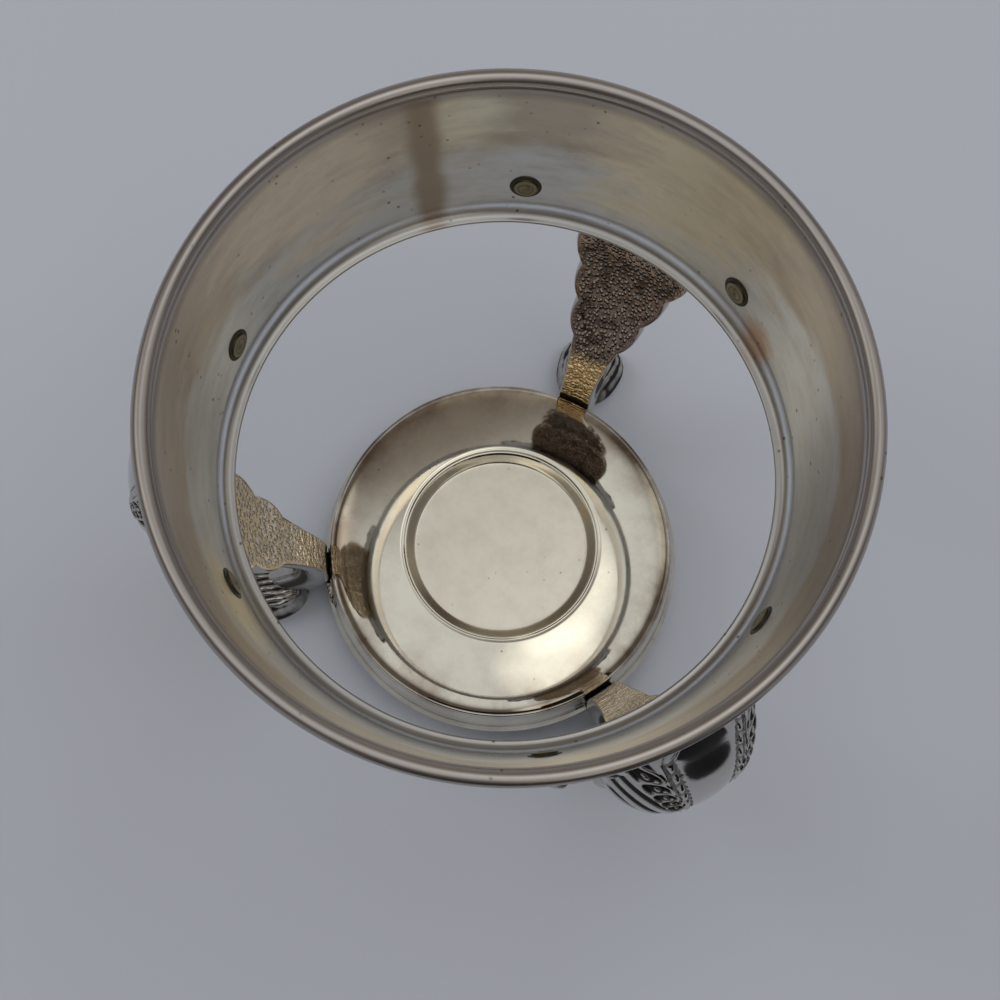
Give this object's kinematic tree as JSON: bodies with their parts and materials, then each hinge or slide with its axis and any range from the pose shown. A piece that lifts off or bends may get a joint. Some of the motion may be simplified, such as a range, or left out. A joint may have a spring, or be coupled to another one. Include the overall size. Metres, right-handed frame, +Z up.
{
  "type": "carafe warming stand",
  "caption": "Warming stand with a flared collar for a round carafe on three cast cabriole legs, and a domed dish below it for a small burner.",
  "frame": {"origin": "middle of the flat burner seat in the dish, on the axis of the collar", "axes": "+Z up along the axis of the collar and dish; one leg points along -X"},
  "size_m": [0.1635, 0.1582, 0.1499],
  "materials": {
    "silver_satin": "silver plate, satin, lightly tarnished",
    "silver_polished": "silver plate, mirror polished",
    "cast_metal": "silver plated casting, oxidised in the recesses",
    "rivet_metal": "dull, tarnished"
  },
  "bodies": {
    "root": {"collar_band": "silver_satin", "rim_wire": "rivet_metal", "burner_dish": "silver_polished", "leg_back_right": "cast_metal", "leg_back_right_rivet_1": "rivet_metal", "leg_back_right_rivet_2": "rivet_metal", "leg_back_right_dish_rivet": "rivet_metal", "leg_left": "cast_metal", "leg_left_rivet_1": "rivet_metal", "leg_left_rivet_2": "rivet_metal", "leg_left_dish_rivet": "rivet_metal", "leg_front_right": "cast_metal", "leg_front_right_rivet_1": "rivet_metal", "leg_front_right_rivet_2": "rivet_metal", "leg_front_right_dish_rivet": "rivet_metal"}
  },
  "joints": []
}
